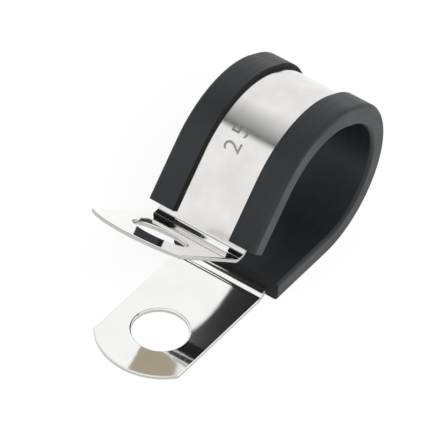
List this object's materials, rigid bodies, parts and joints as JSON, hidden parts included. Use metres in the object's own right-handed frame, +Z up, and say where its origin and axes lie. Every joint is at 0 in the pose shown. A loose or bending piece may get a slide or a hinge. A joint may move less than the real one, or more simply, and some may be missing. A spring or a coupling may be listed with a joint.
{
  "type": "p clip",
  "caption": "Rubber lined P clip: an open loop of stainless steel band with a drilled foot at each end, for holding a cable, hose or pipe to a surface.",
  "frame": {"origin": "centre of the lower foot's hole, on the underside of the foot", "axes": "+Z up, square to the surface that the clip is fixed to; -X towards the round end of the lower foot, +X towards the loop; Y along the tube, across the band"},
  "size_m": [0.0665, 0.0234, 0.0352],
  "materials": {
    "steel": "bright stainless strip, fine grain on the loop, polished feet",
    "rubber": "smooth matt extruded rubber"
  },
  "bodies": {
    "root": {"band": "steel", "liner": "rubber"}
  },
  "joints": []
}
